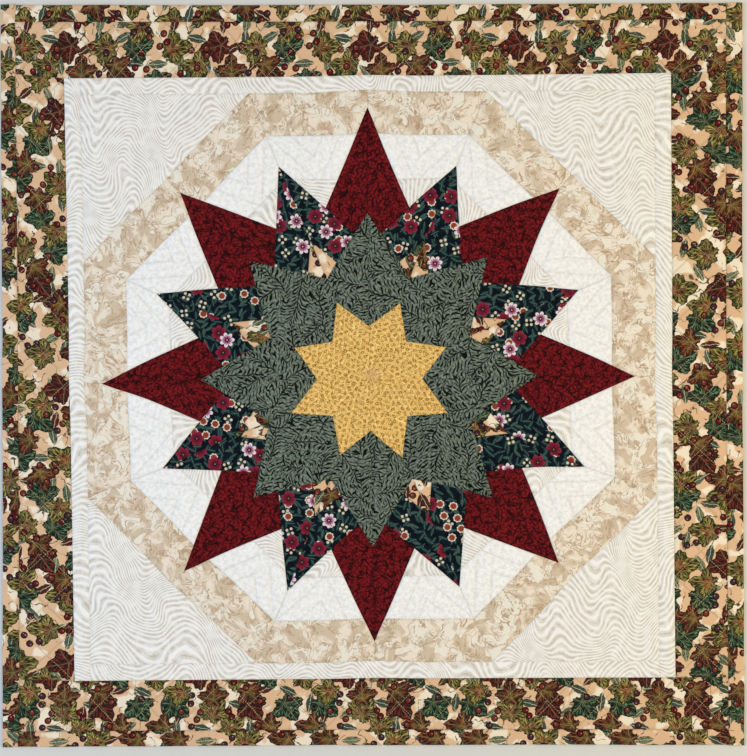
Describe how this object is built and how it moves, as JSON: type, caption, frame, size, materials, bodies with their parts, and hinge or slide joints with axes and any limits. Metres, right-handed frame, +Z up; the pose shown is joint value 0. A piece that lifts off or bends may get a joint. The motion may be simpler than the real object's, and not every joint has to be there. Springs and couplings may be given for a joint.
{
  "type": "star quilt",
  "caption": "Square patchwork quilt laid flat, with a large layered star in octagon rings, a leaf-print border and a folded binding.",
  "frame": {"origin": "under the middle of the quilt, on the surface that it lies on", "axes": "+Z up through the cloth's face, +Y towards the top edge, +X to the right"},
  "size_m": [0.914, 0.914, 0.0045],
  "materials": {
    "pieced_cotton": "matte",
    "leaf_print": "matte",
    "gold_cotton": "matte",
    "green_cotton": "matte",
    "navy_floral": "matte",
    "dark_red_cotton": "matte",
    "white_cotton": "matte",
    "wood_grain_cotton": "matte",
    "tan_marble_cotton": "matte",
    "backing_cotton": "matte",
    "quilting_thread": "matte"
  },
  "bodies": {
    "root": {"quilt_body": "pieced_cotton", "binding_top": "leaf_print", "binding_bottom": "leaf_print", "binding_left": "leaf_print", "binding_right": "leaf_print"}
  },
  "joints": []
}
